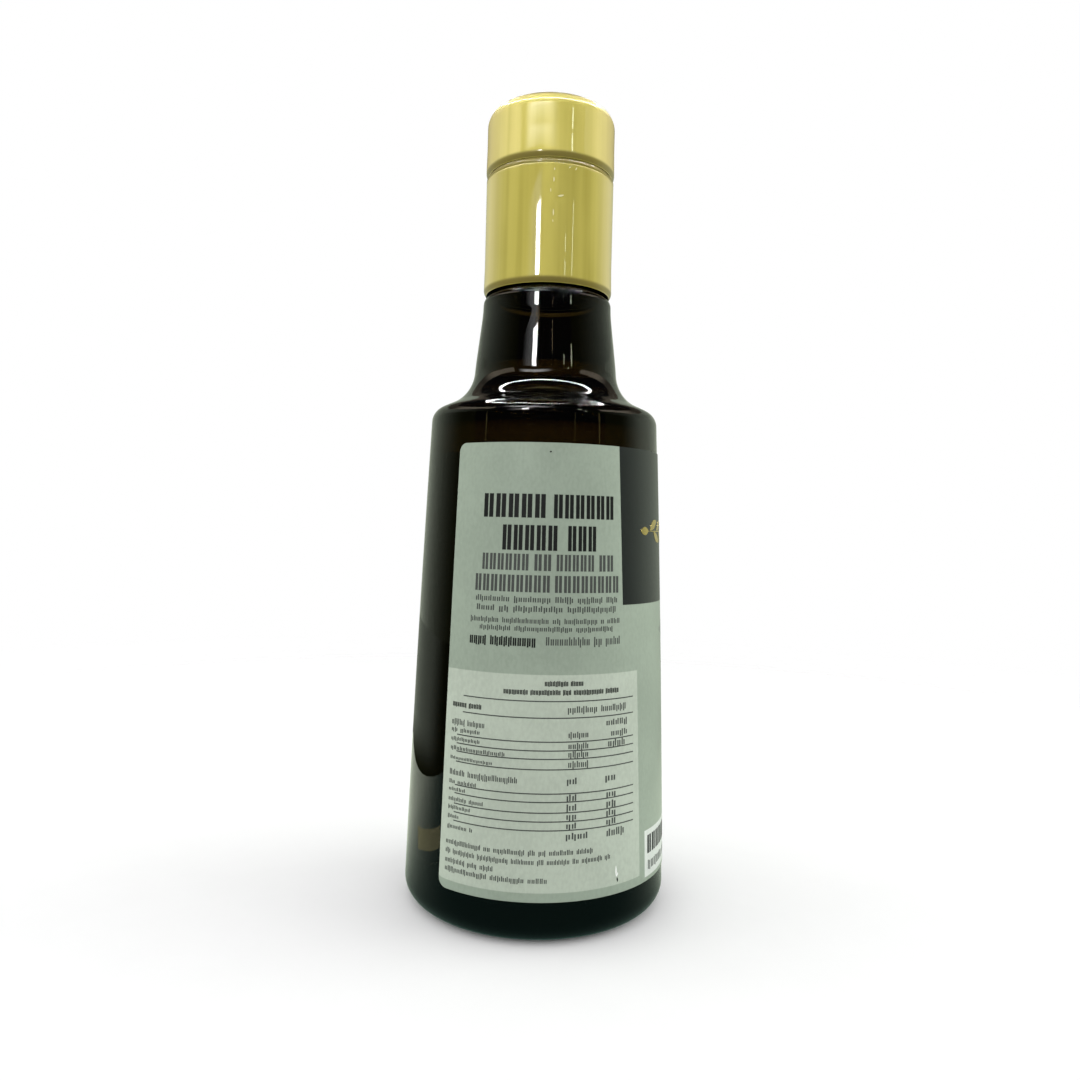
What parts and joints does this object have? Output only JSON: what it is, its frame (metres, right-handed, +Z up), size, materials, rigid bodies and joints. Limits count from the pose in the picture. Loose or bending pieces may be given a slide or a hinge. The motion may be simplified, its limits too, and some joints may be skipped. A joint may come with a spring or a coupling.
{
  "type": "olive oil bottle",
  "caption": "Filled dark glass olive oil bottle with a tapering body, long gold closure and wrap-round paper label, standing upright.",
  "frame": {"origin": "on the bottle's axis, at the level of the surface it stands on", "axes": "+Z up along the bottle's axis, -Y towards the picture's camera"},
  "size_m": [0.0643, 0.0648, 0.1929],
  "materials": {
    "glass": "very dark olive-brown glass, polished",
    "oil": "clear golden-green oil",
    "closure": "gold lacquered, satin gloss",
    "label": "silver-grey paper, soft sheen, with black and gold fields of print"
  },
  "bodies": {
    "root": {"glass_bottle": "glass", "olive_oil": "oil", "cap_top": "closure", "cap_sleeve": "closure", "label": "label"}
  },
  "joints": []
}
